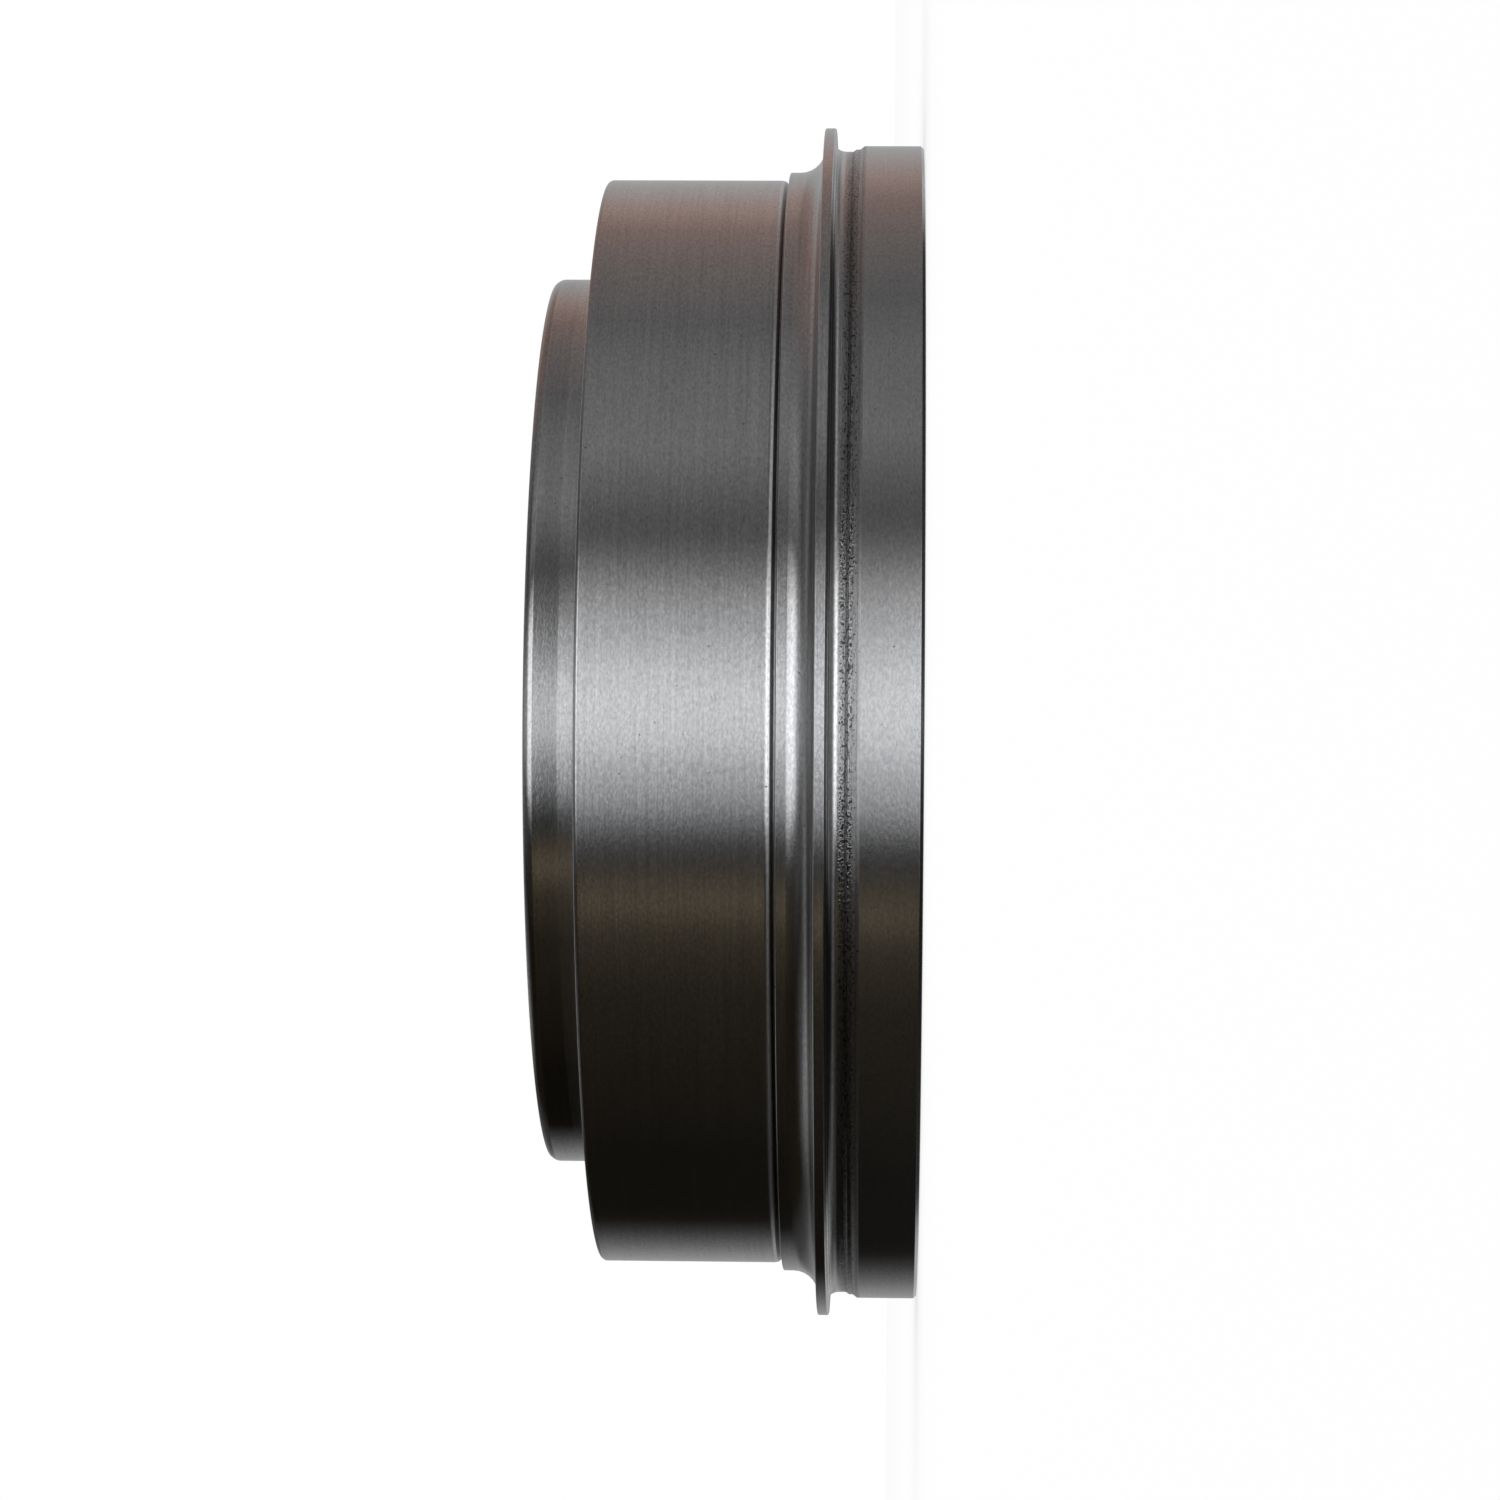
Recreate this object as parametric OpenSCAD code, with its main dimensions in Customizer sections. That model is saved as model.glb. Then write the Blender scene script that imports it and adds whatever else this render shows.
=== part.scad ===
// Brake drum for a small car: one grey-iron casting, turned all over outside, bored inside.
// It stands on its open rim. The Z axis is the wheel's axis and points to the wheel face,
// and the origin is the centre of the open rim's end face. All sizes are in millimetres.

/* [Overall] */
// Height from the open rim to the wheel face
overall_h = 65; // [64:0.5:68]
// Edge break on turned outside corners
edge_break = 0.4; // [0.1:0.1:0.6]

/* [Friction ring] */
// Diameter that the brake shoes rub on
friction_d = 180; // [176:0.5:182]
// Distance from the open rim to where the friction bore begins, after its lead-in
friction_start = 8.5; // [8:0.5:9]
// Length of the bored friction surface
friction_l = 36; // [32:0.5:38]
// Outside diameter of the turned body
body_d = 193.6; // [192:0.2:194.4]
// Depth of the unmachined relief between the friction bore and the web
relief_depth = 0.8; // [0.4:0.1:1]

/* [Web and hat] */
// Thickness of the flat web between the body and the hat
web_t = 7; // [6:0.5:8]
// Outside diameter of the hat, the stepped hub part
hat_d = 158.4; // [156:0.2:160]
// Height of the hat above the web
hat_h = 9.5; // [8:0.5:12]
// Thickness of the hat's side wall at its open end
hat_wall = 6.8; // [6:0.2:8]
// Thickness of the hat's end wall, where the hub and the wheel clamp it
hat_end_t = 6.5; // [6:0.5:7.5]
// Edge break round the wheel face
hat_edge = 0.7; // [0.3:0.1:1.2]
// Radius in the outside corner between the hat and the web
hat_root_r = 1; // [0.5:0.1:2]
// Diameter of the machined seat for the hub flange, inside the hat
hub_seat_d = 134; // [124:1:135]

/* [Holes] */
// Centre bore that fits over the hub's spigot
hub_bore_d = 62; // [54:0.5:70]
// Number of wheel studs
stud_count = 4; // [4, 5, 6]
// Pitch circle of the wheel studs and of the puller holes
stud_pcd = 100; // [98:1:110]
// Clearance hole for one wheel stud
stud_hole_d = 13; // [12:0.1:15]
// Core of a tapped puller hole, drilled for an M8 thread
puller_hole_d = 6.8; // [6.6:0.1:7]
// Number of puller holes, between the studs
puller_count = 2; // [0, 1, 2]

/* [Open rim] */
// Outside diameter of the rim band
rim_d = 205.8; // [205.2:0.2:207]
// Height of the rim band above the open end
rim_h = 10.4; // [9.6:0.1:10.6]
// Diameter of the low step beside the rim band
step_d = 204.6; // [204.2:0.1:204.8]
// Diameter of the groove floor between the low step and the fin
groove_d = 203.8; // [203.2:0.1:204]
// Slope of the short cones on both sides of the low step, in degrees from the axis
step_slope = 38; // [34:1:50]
// Inside diameter of the skirt that laps the backing plate
skirt_bore_d = 195.6; // [194:0.2:197]
// Depth of the skirt's counterbore
skirt_depth = 6; // [5:0.5:6.5]

/* [Fin and shoulder] */
// Outside diameter of the thin fin that throws water clear
fin_d = 212; // [209:0.5:214]
// Thickness of the fin
fin_t = 1.9; // [1.5:0.1:2.1]
// Height of the fin's wheel side above the open end
fin_top = 17.3; // [17.1:0.1:17.4]
// Radius that lifts the groove floor to the fin's root
fin_root_r = 2.6; // [1.6:0.1:2.8]
// Radius of the cove between the fin and the shoulder
cove_r = 4.4; // [3.4:0.1:4.8]
// Diameter of the shoulder
shoulder_d = 196.4; // [195.6:0.2:197]
// Height of the shoulder's end above the open end
shoulder_top = 23.3; // [23:0.1:23.4]
// Diameter of the run-out groove between the shoulder and the body
runout_d = 192.2; // [191.6:0.2:192.8]
// Height where the body begins, past the run-out groove
body_start = 24.4; // [24.3:0.1:25]

/* [Hidden] */
$fn = 180;

arc_steps = 8;
through = 1;                  // how far a cutter runs past the face it opens

web_top = overall_h - hat_h;
web_under = web_top - web_t;
seat_z = overall_h - hat_end_t;

lead_in_r = 1.6;              // the lead-in chamfer's depth, measured along the radius
relief_corner_r = 2.4;        // casting radius where the relief meets the web
relief_min_l = 0.5;           // shortest straight wall that the relief keeps
friction_limit = web_under - relief_corner_r - relief_depth - relief_min_l;
friction_end = min(friction_start + friction_l, friction_limit);
web_corner_r = 3;             // casting radius where the web turns into the hat
seat_corner_r = 2.5;          // casting radius in the hat's inside corner
seat_step = 0.5;              // how deep the hub seat is faced into the casting
hat_draft = 0.5;              // taper of the hat's cast inside wall
skirt_corner_r = 1.2;         // tool radius in the skirt's counterbore
rim_edge = 0.5;               // chamfer on both edges of the rim's end face
step_land = 0.7;              // length of the low step beside the rim band
floor_min_l = 0.3;            // shortest straight floor that the groove keeps
root_sweep = 45;              // degrees that the radius at the fin's root turns through
bore_chamfer = 1;
stud_chamfer = 0.5;
puller_chamfer = 0.8;

// Points along a circular arc from one angle to another, both in degrees.
function arc(centre, r, from, to, steps = arc_steps) = [
    for (i = [0 : steps])
        let (a = from + (to - from) * i / steps)
        centre + r * [cos(a), sin(a)]
];

// The rim band, the low step beside it and the groove, up to the fin's root.
function rim_outline() =
    let (rim_r = rim_d / 2, step_r = step_d / 2, groove_r = groove_d / 2)
    let (fin_foot = fin_top - fin_t)
    let (step_z = rim_h + (rim_r - step_r) / tan(step_slope))
    let (floor_z = step_z + step_land + (step_r - groove_r) / tan(step_slope))
    let (root_r = min(fin_root_r, (fin_foot - floor_z - floor_min_l) / sin(root_sweep)))
    concat(
        [
            [rim_r - rim_edge, 0],
            [rim_r, rim_edge],
            [rim_r, rim_h],
            [step_r, step_z],
            [step_r, step_z + step_land],
            [groove_r, floor_z]
        ],
        arc([groove_r + root_r, fin_foot - root_r * sin(root_sweep)], root_r, 180, 180 - root_sweep)
    );

// The fin, the cove behind it, the shoulder and the run-out groove.
function fin_outline() =
    let (fin_r = fin_d / 2, shoulder_r = shoulder_d / 2, runout_r = runout_d / 2)
    let (fin_foot = fin_top - fin_t, tip = fin_t / 6)
    concat(
        [
            [fin_r - tip, fin_foot],
            [fin_r, fin_foot + tip],
            [fin_r, fin_top - tip],
            [fin_r - tip, fin_top]
        ],
        arc([shoulder_r + cove_r, fin_top + cove_r], cove_r, 270, 180),
        [
            [shoulder_r, shoulder_top - edge_break],
            [shoulder_r - edge_break, shoulder_top],
            [runout_r, shoulder_top + 0.3],
            [runout_r, body_start - 0.4]
        ]
    );

// The turned body, the flat web and the hat, up to the wheel face.
function body_outline() =
    let (body_r = body_d / 2, hat_r = hat_d / 2)
    concat(
        [
            [body_r - edge_break, body_start],
            [body_r, body_start + edge_break],
            [body_r, web_top - edge_break],
            [body_r - edge_break, web_top]
        ],
        arc([hat_r + hat_root_r, web_top + hat_root_r], hat_root_r, 270, 180),
        [
            [hat_r, overall_h - hat_edge],
            [hat_r - hat_edge, overall_h]
        ]
    );

// The centre bore, the hub seat and the hat's cast inside, down to the web.
function hat_inside() =
    let (bore_r = hub_bore_d / 2, seat_r = hub_seat_d / 2)
    let (mouth_r = hat_d / 2 - hat_wall, top_r = mouth_r - hat_draft)
    let (cast_z = seat_z - seat_step)
    concat(
        [
            [bore_r + bore_chamfer, overall_h],
            [bore_r, overall_h - bore_chamfer],
            [bore_r, seat_z + bore_chamfer],
            [bore_r + bore_chamfer, seat_z],
            [seat_r, seat_z],
            [seat_r, cast_z]
        ],
        arc([top_r - seat_corner_r, cast_z - seat_corner_r], seat_corner_r, 90, 0),
        arc([mouth_r + web_corner_r, web_under + web_corner_r], web_corner_r, 180, 270)
    );

// The web's inside, the relief, the friction bore and the skirt's counterbore.
function ring_inside() =
    let (friction_r = friction_d / 2, skirt_r = skirt_bore_d / 2)
    let (relief_r = friction_r + relief_depth)
    concat(
        arc([relief_r - relief_corner_r, web_under - relief_corner_r], relief_corner_r, 90, 0),
        [
            [relief_r, friction_end + relief_depth],
            [friction_r, friction_end],
            [friction_r, friction_start],
            [friction_r + lead_in_r, skirt_depth]
        ],
        arc([skirt_r - skirt_corner_r, skirt_depth - skirt_corner_r], skirt_corner_r, 90, 0),
        [
            [skirt_r, rim_edge],
            [skirt_r + rim_edge, 0]
        ]
    );

// Half of the drum's section, as [radius, height] points.
function drum_section() =
    concat(rim_outline(), fin_outline(), body_outline(), hat_inside(), ring_inside());

// A hole through the hat's end wall, with a small chamfer at both faces.
module end_wall_hole(d, chamfer) {
    translate([0, 0, seat_z - through])
        cylinder(d = d, h = hat_end_t + 2 * through);
    translate([0, 0, overall_h - chamfer])
        cylinder(d1 = d, d2 = d + 2 * (chamfer + through), h = chamfer + through);
    translate([0, 0, seat_z - through])
        cylinder(d1 = d + 2 * (chamfer + through), d2 = d, h = chamfer + through);
}

// Holes spread evenly round the wheel's axis on the stud circle.
module on_stud_circle(count, first_angle) {
    for (i = [0 : 1 : count - 1])
        rotate([0, 0, first_angle + 360 * i / count])
            translate([stud_pcd / 2, 0, 0])
                children();
}

module brake_drum() {
    color([0.44, 0.45, 0.47])
        difference() {
            rotate_extrude() polygon(drum_section());
            on_stud_circle(stud_count, 180 / stud_count)
                end_wall_hole(stud_hole_d, stud_chamfer);
            on_stud_circle(puller_count, 0)
                end_wall_hole(puller_hole_d, puller_chamfer);
        }
}

brake_drum();
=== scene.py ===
"""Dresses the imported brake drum: its turned outside, bored inside and cast skin, on a plain pale floor.

The drum stands on its open rim, with the wheel's axis on Z, as in the part's source. Sizes are in
millimetres until they go into the mesh, which is in metres.
"""
import math

import bpy
import numpy as np
from bpy.props import FloatProperty, FloatVectorProperty, IntProperty, PointerProperty
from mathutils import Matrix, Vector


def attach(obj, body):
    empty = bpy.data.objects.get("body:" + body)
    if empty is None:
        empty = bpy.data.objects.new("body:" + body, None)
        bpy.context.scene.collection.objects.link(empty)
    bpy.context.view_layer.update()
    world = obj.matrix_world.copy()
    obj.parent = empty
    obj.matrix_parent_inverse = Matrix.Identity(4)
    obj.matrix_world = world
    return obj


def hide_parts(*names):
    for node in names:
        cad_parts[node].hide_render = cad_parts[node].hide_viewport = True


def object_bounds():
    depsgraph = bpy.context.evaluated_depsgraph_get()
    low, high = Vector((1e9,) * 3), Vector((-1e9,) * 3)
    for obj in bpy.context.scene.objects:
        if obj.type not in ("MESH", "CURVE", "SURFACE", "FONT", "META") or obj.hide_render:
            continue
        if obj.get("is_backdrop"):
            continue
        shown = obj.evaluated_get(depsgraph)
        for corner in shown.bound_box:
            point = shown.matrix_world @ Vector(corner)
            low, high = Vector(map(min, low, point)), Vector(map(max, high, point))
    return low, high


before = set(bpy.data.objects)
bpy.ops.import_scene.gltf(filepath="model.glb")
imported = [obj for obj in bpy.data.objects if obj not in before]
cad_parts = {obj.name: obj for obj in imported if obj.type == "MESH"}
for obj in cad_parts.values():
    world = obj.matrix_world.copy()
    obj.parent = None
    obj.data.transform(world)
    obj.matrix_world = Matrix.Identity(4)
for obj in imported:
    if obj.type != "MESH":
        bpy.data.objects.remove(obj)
CAD_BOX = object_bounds()

bl_info = {
    "name": "Brake Drum",
    "version": (1, 0, 0),
    "blender": (4, 5, 0),
    "location": "3D View > Sidebar > Brake Drum",
    "description": "Builds a turned cast-iron brake drum and the studio it stands in",
    "category": "Add Mesh",
}

MM = 0.001
CAD_HEIGHT = CAD_BOX[1].z / MM
CAD_FIN_DIAMETER = 2 * CAD_BOX[1].x / MM
PIECE = "brake_drum"

# Finishes, in the order of the mesh's material slots.
TURNED, BORED, CAST, DRILLED, TORN, FACED = range(6)

# Sizes of the section that several of its parts share, in millimetres.
SKIRT_RADIUS = 97.8
RIM_EDGE = 0.5
FIN_FOOT, FIN_TOP = 15.4, 17.3
WEB_UNDER, WEB_TOP = 48.5, 55.5
END_WALL = 6.5
HAT_WALL = 6.8
SEAT_STEP = 0.5
RELIEF_DEPTH = 0.8

# Holes in the end wall: how deep their chamfers are, and the core of an M8 thread, in millimetres.
STUD_CHAMFER = 0.5
PULLER_CORE = 3.4
PULLER_CHAMFER = 0.8
PULLERS = 2

# Columns of faces round the drum, and how many of them a hole's patch reaches to each side.
COLUMNS = 240
STUD_REACH = 8
PULLER_REACH = 6

# The two circles that the patches lie between, in millimetres, the rows from one to the other, and the
# rings that lead over the flat face to a hole's rim.
PATCH_INNER = 41.0
PATCH_OUTER = 59.0
PATCH_ROWS = 8
FLAT_RINGS = 3

# An edge that turns by more than this is drawn sharp.
SHARP_TURN = math.radians(32)


class DrumSizes(bpy.types.PropertyGroup):
    """Sizes of the drum, in millimetres."""

    height: FloatProperty(
        name="Height",
        description="Height from the open rim to the wheel face, in millimetres",
        default=CAD_HEIGHT,
    )
    fin_diameter: FloatProperty(
        name="Fin",
        description="Outside diameter of the water-thrower fin, in millimetres",
        default=CAD_FIN_DIAMETER,
    )
    rim_diameter: FloatProperty(
        name="Rim band",
        description="Outside diameter of the band at the open end, in millimetres",
        default=205.8,
    )
    body_diameter: FloatProperty(
        name="Body",
        description="Outside diameter of the turned body, in millimetres",
        default=193.6,
    )
    hat_diameter: FloatProperty(
        name="Hat",
        description="Outside diameter of the stepped hub part, in millimetres",
        default=158.4,
    )
    friction_diameter: FloatProperty(
        name="Friction bore",
        description="Diameter that the brake shoes rub on, in millimetres",
        default=180.0,
    )
    hub_bore: FloatProperty(
        name="Centre bore",
        description="Diameter of the bore that fits the hub's spigot, in millimetres",
        default=62.0,
    )
    stud_circle: FloatProperty(
        name="Stud circle",
        description="Pitch circle of the stud and puller holes, in millimetres",
        default=100.0,
    )
    stud_hole: FloatProperty(
        name="Stud hole",
        description="Diameter of the wheel-stud holes, in millimetres",
        default=13.0,
    )
    studs: IntProperty(
        name="Studs",
        description="Number of wheel-stud holes",
        default=4,
        min=1,
        max=5,
    )
    edge_softness: FloatProperty(
        name="Edge softness",
        description="Radius left on a turned edge, in millimetres",
        default=0.12,
        min=0.02,
        max=0.2,
    )


class IronFinish(bpy.types.PropertyGroup):
    """Colours and roughness of the iron's surfaces."""

    bare_colour: FloatVectorProperty(
        name="Bare iron",
        description="Colour of freshly cut grey iron",
        subtype="COLOR",
        size=3,
        default=(0.55, 0.55, 0.555),
    )
    skin_colour: FloatVectorProperty(
        name="Cast skin",
        description="Colour of the unmachined casting inside",
        subtype="COLOR",
        size=3,
        default=(0.16, 0.155, 0.15),
    )
    grain: FloatProperty(
        name="Grain",
        description="How much the iron's fine grain changes the colour",
        default=0.95,
        min=0.0,
        max=1.5,
    )
    tool_lines: FloatProperty(
        name="Tool lines",
        description="How much the turning lines change the colour",
        default=0.66,
        min=0.0,
        max=1.5,
    )
    pitting: FloatProperty(
        name="Pitting",
        description="How dark the open pores of the iron are",
        default=0.6,
        min=0.0,
        max=1.0,
    )
    roughness: FloatProperty(
        name="Roughness",
        description="Roughness of the turned body, between its rough and its smooth direction",
        subtype="FACTOR",
        default=0.157,
        min=0.05,
        max=1.0,
    )


class StudioLight(bpy.types.PropertyGroup):
    """Strengths of the studio's lights."""

    panels: FloatProperty(
        name="Panels",
        description="Brightness of the light panels that the metal mirrors",
        default=1.0,
        min=0.0,
    )
    room: FloatProperty(
        name="Room",
        description="Brightness of the soft light all round",
        default=1.0,
        min=0.0,
    )
    key_power: FloatProperty(
        name="Key lamp",
        description="Power of the soft lamp overhead, which gives the floor its shadow",
        subtype="POWER",
        unit="POWER",
        default=3.0,
        min=0.0,
    )


# Section

def rim_corners(s):
    """The skirt's end, the rim band, the low step and the groove, as (radius, height, rounding, finish)."""
    soft = s.edge_softness
    rim = s.rim_diameter / 2
    step, groove = 102.3, 101.9
    slope = math.tan(math.radians(38))
    rim_top, torn_edge = 10.4, 0.4
    step_land = 0.7
    step_start = rim_top + (rim - step) / slope
    step_end = step_start + step_land
    floor_start = step_end + (step - groove) / slope
    root_radius = 2.6
    root_turn = math.radians(45)
    bend = FIN_FOOT - root_radius * (math.sin(root_turn) - math.tan(root_turn / 2))
    root_end = groove + root_radius * (1 - math.cos(root_turn))
    return [
        (SKIRT_RADIUS + RIM_EDGE, 0.0, soft, TURNED),
        (rim - RIM_EDGE, 0.0, soft, TURNED),
        (rim, RIM_EDGE, soft, TURNED),
        (rim, rim_top - torn_edge, 0.0, TORN),
        (rim, rim_top, 0.5, TORN),
        (step, step_start, 0.4, TURNED),
        (step, step_end, 0.4, TORN),
        (groove, floor_start, 0.3, TURNED),
        (groove, bend, root_radius, TURNED),
        (root_end, FIN_FOOT, soft, TURNED),
    ]


def fin_corners(s):
    """The fin, the cove behind it, the shoulder and the run-out groove."""
    soft = s.edge_softness
    fin = s.fin_diameter / 2
    tip = 0.18
    cove_radius = 4.4
    shoulder, shoulder_top, shoulder_edge = 98.2, 23.45, 0.15
    runout, runout_from, runout_to = 96.1, shoulder_top + 0.08, shoulder_top + 0.3
    return [
        (fin - tip, FIN_FOOT, soft, TURNED),
        (fin, FIN_FOOT + tip, soft, TURNED),
        (fin, FIN_TOP - tip, soft, TURNED),
        (fin - tip, FIN_TOP, soft, TURNED),
        (shoulder, FIN_TOP, cove_radius, TURNED),
        (shoulder, shoulder_top - shoulder_edge, soft, TURNED),
        (shoulder - shoulder_edge, shoulder_top, soft, TURNED),
        (runout, runout_from, 0.5 * soft, TURNED),
        (runout, runout_to, 0.5 * soft, TURNED),
    ]


def body_corners(s):
    """The turned body, the flat web and the hat, up to the wheel face."""
    soft = s.edge_softness
    body, hat, top = s.body_diameter / 2, s.hat_diameter / 2, s.height
    foot_depth, body_foot, body_start = 0.14, 24.3, 24.95
    edge_width, edge_height = 0.3, 0.5
    hat_edge, hat_root = 0.7, 1.0
    easy = 2.0
    return [
        (body - foot_depth, body_foot, soft, TURNED),
        (body, body_start, easy, TURNED),
        (body, WEB_TOP - edge_height, 0.5, TURNED),
        (body - edge_width, WEB_TOP, 2 * soft, FACED),
        (hat, WEB_TOP, hat_root, TURNED),
        (hat, top - hat_edge, easy, TURNED),
        (hat - hat_edge, top, 2 * soft, FACED),
    ]


def patch_rows(height, inwards):
    """Level points on a flat face between the two circles that the holes' patches lie between."""
    radii = np.linspace(PATCH_OUTER, PATCH_INNER, PATCH_ROWS + 1)
    if not inwards:
        radii = radii[::-1]
    return [(radius, height, 0.0, FACED if inwards else BORED) for radius in radii]


def hat_corners(s):
    """The wheel face, the centre bore, the hub seat and the hat's cast inside, down to the web."""
    soft = s.edge_softness
    bore, top = s.hub_bore / 2, s.height
    seat = top - END_WALL
    seat_radius = 67.0
    chamfer = 1.0
    draft = 0.5
    seat_corner, web_corner = 2.5, 3.0
    hat_inside = s.hat_diameter / 2 - HAT_WALL
    return [
        *patch_rows(top, inwards=True),
        (bore + chamfer, top, soft, BORED),
        (bore, top - chamfer, soft, BORED),
        (bore, seat + chamfer, soft, BORED),
        (bore + chamfer, seat, soft, BORED),
        *patch_rows(seat, inwards=False),
        (seat_radius, seat, soft, BORED),
        (seat_radius, seat - SEAT_STEP, soft, CAST),
        (hat_inside - draft, seat - SEAT_STEP, seat_corner, CAST),
        (hat_inside, WEB_UNDER, web_corner, CAST),
    ]


def ring_corners(s):
    """The web's inside, the relief, the friction bore and the skirt's counterbore."""
    soft = s.edge_softness
    friction = s.friction_diameter / 2
    friction_start, friction_end = 8.5, 44.5
    lead_in = 1.6
    relief_corner = 2.4
    skirt_depth, skirt_corner = 6.0, 1.2
    return [
        (friction + RELIEF_DEPTH, WEB_UNDER, relief_corner, CAST),
        (friction + RELIEF_DEPTH, friction_end + RELIEF_DEPTH, soft, CAST),
        (friction, friction_end, soft, BORED),
        (friction, friction_start, soft, BORED),
        (friction + lead_in, skirt_depth, soft, BORED),
        (SKIRT_RADIUS, skirt_depth, skirt_corner, BORED),
        (SKIRT_RADIUS, RIM_EDGE, soft, BORED),
    ]


def rounded_section(corners, turn_step=math.radians(14), hold=0.06):
    """Turns corners into the points of a closed outline, with an arc at each corner that has a rounding.

    A corner that turns by T is cut back by rounding * tan(T / 2) along both its sides, and the arc between
    the two cuts touches both sides. On each straight run two more points stand `hold` from its ends, so
    that the smooth shading of an arc doesn't reach into the straight. Returns the points and, for each
    point, the finish of the run that leaves it.
    """
    places = np.array([corner[:2] for corner in corners])
    ahead = np.roll(places, -1, axis=0) - places
    ahead /= np.linalg.norm(ahead, axis=1)[:, None]
    points, finishes = [], []
    for index, (radius, height, rounding, finish) in enumerate(corners):
        place, entry, leave = places[index], ahead[index - 1], ahead[index]
        turn = math.atan2(entry[0] * leave[1] - entry[1] * leave[0], entry @ leave)
        arc = [place]
        if rounding and abs(turn) > 1e-6:
            side = math.copysign(1.0, turn)
            start = place - entry * rounding * math.tan(abs(turn) / 2)
            middle = start + side * rounding * np.array([-entry[1], entry[0]])
            steps = max(2, math.ceil(abs(turn) / turn_step))
            angles = math.atan2(*(start - middle)[::-1]) + np.linspace(0, turn, steps + 1)
            arc = list(middle + rounding * np.stack([np.cos(angles), np.sin(angles)], 1))
        if points and np.linalg.norm(arc[0] - points[-1]) > 6 * hold:
            run = arc[0] - points[-1]
            run *= hold / np.linalg.norm(run)
            points += [points[-1] + run, arc[0] - run]
            finishes += [finishes[-1], finishes[-1]]
        points += arc
        finishes += [corners[index - 1][3]] * (len(arc) - 1) + [finish]
    return np.array(points), np.array(finishes)


def lathe(outline):
    """Carries the outline round the axis: x = r cos a, y = r sin a, z = h, on a grid of point by angle."""
    angles = np.radians(np.arange(COLUMNS) * 360 / COLUMNS)
    radius, height = outline[:, :1], outline[:, 1:]
    return np.stack([radius * np.cos(angles), radius * np.sin(angles), height + 0 * angles], -1)


def row_at(outline, radius, height):
    """The outline's point that lies at a radius and height."""
    return int(np.argmin(np.hypot(outline[:, 0] - radius, outline[:, 1] - height)))


def patch_edge(outer_row, inner_row, centre, reach):
    """Grid numbers round a hole's patch, anticlockwise seen from above, as (row, column) arrays.

    It runs along the outer circle, in towards the axis, back along the inner circle and out again.
    """
    step = 1 if inner_row > outer_row else -1
    inwards = np.arange(outer_row, inner_row, step)
    forth = np.arange(-reach, reach)
    rows = [np.full(len(forth), outer_row), inwards, np.full(len(forth), inner_row), (inwards + step)[::-1]]
    columns = [forth, np.full(len(inwards), reach), -forth, np.full(len(inwards), -reach)]
    return np.concatenate(rows), (np.concatenate(columns) + centre) % COLUMNS


def drilled_wall(angle, hole, chamfer, top, bottom):
    """Rings of a plain hole from top to bottom: a chamfer, the wall and a chamfer, as radius and height."""
    radii = np.array([hole + chamfer, hole, hole, hole + chamfer])
    heights = np.array([top, top - chamfer, bottom + chamfer, bottom])
    return radii[:, None] + 0 * angle, heights


def tapped_wall(angle, core, chamfer, top, bottom, pitch=1.25, depth=0.6, rows=76):
    """Rings of a right-hand thread, as radius by angle and height.

    The thread's groove is a flat root and two flanks at 30 degrees, and it climbs one pitch to a turn:
    its middle is where height / pitch - angle / (2 pi) is a whole number. The radius at each place is
    the larger of the groove's and of the chamfer's cone at either end.
    """
    heights = np.linspace(top, bottom, rows)
    turns = heights[:, None] / pitch - angle / (2 * math.pi)
    from_middle = np.abs(turns - np.round(turns)) * pitch
    flank = depth * math.tan(math.radians(30))
    groove = np.clip((pitch / 16 + flank - from_middle) / flank, 0, 1) * depth
    cone = chamfer - np.minimum(top - heights, heights - bottom)
    return core + np.maximum(groove, cone[:, None]), heights


def vertex_number(row, column):
    """A grid point's place in the list of vertices."""
    return row * COLUMNS + column


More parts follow.
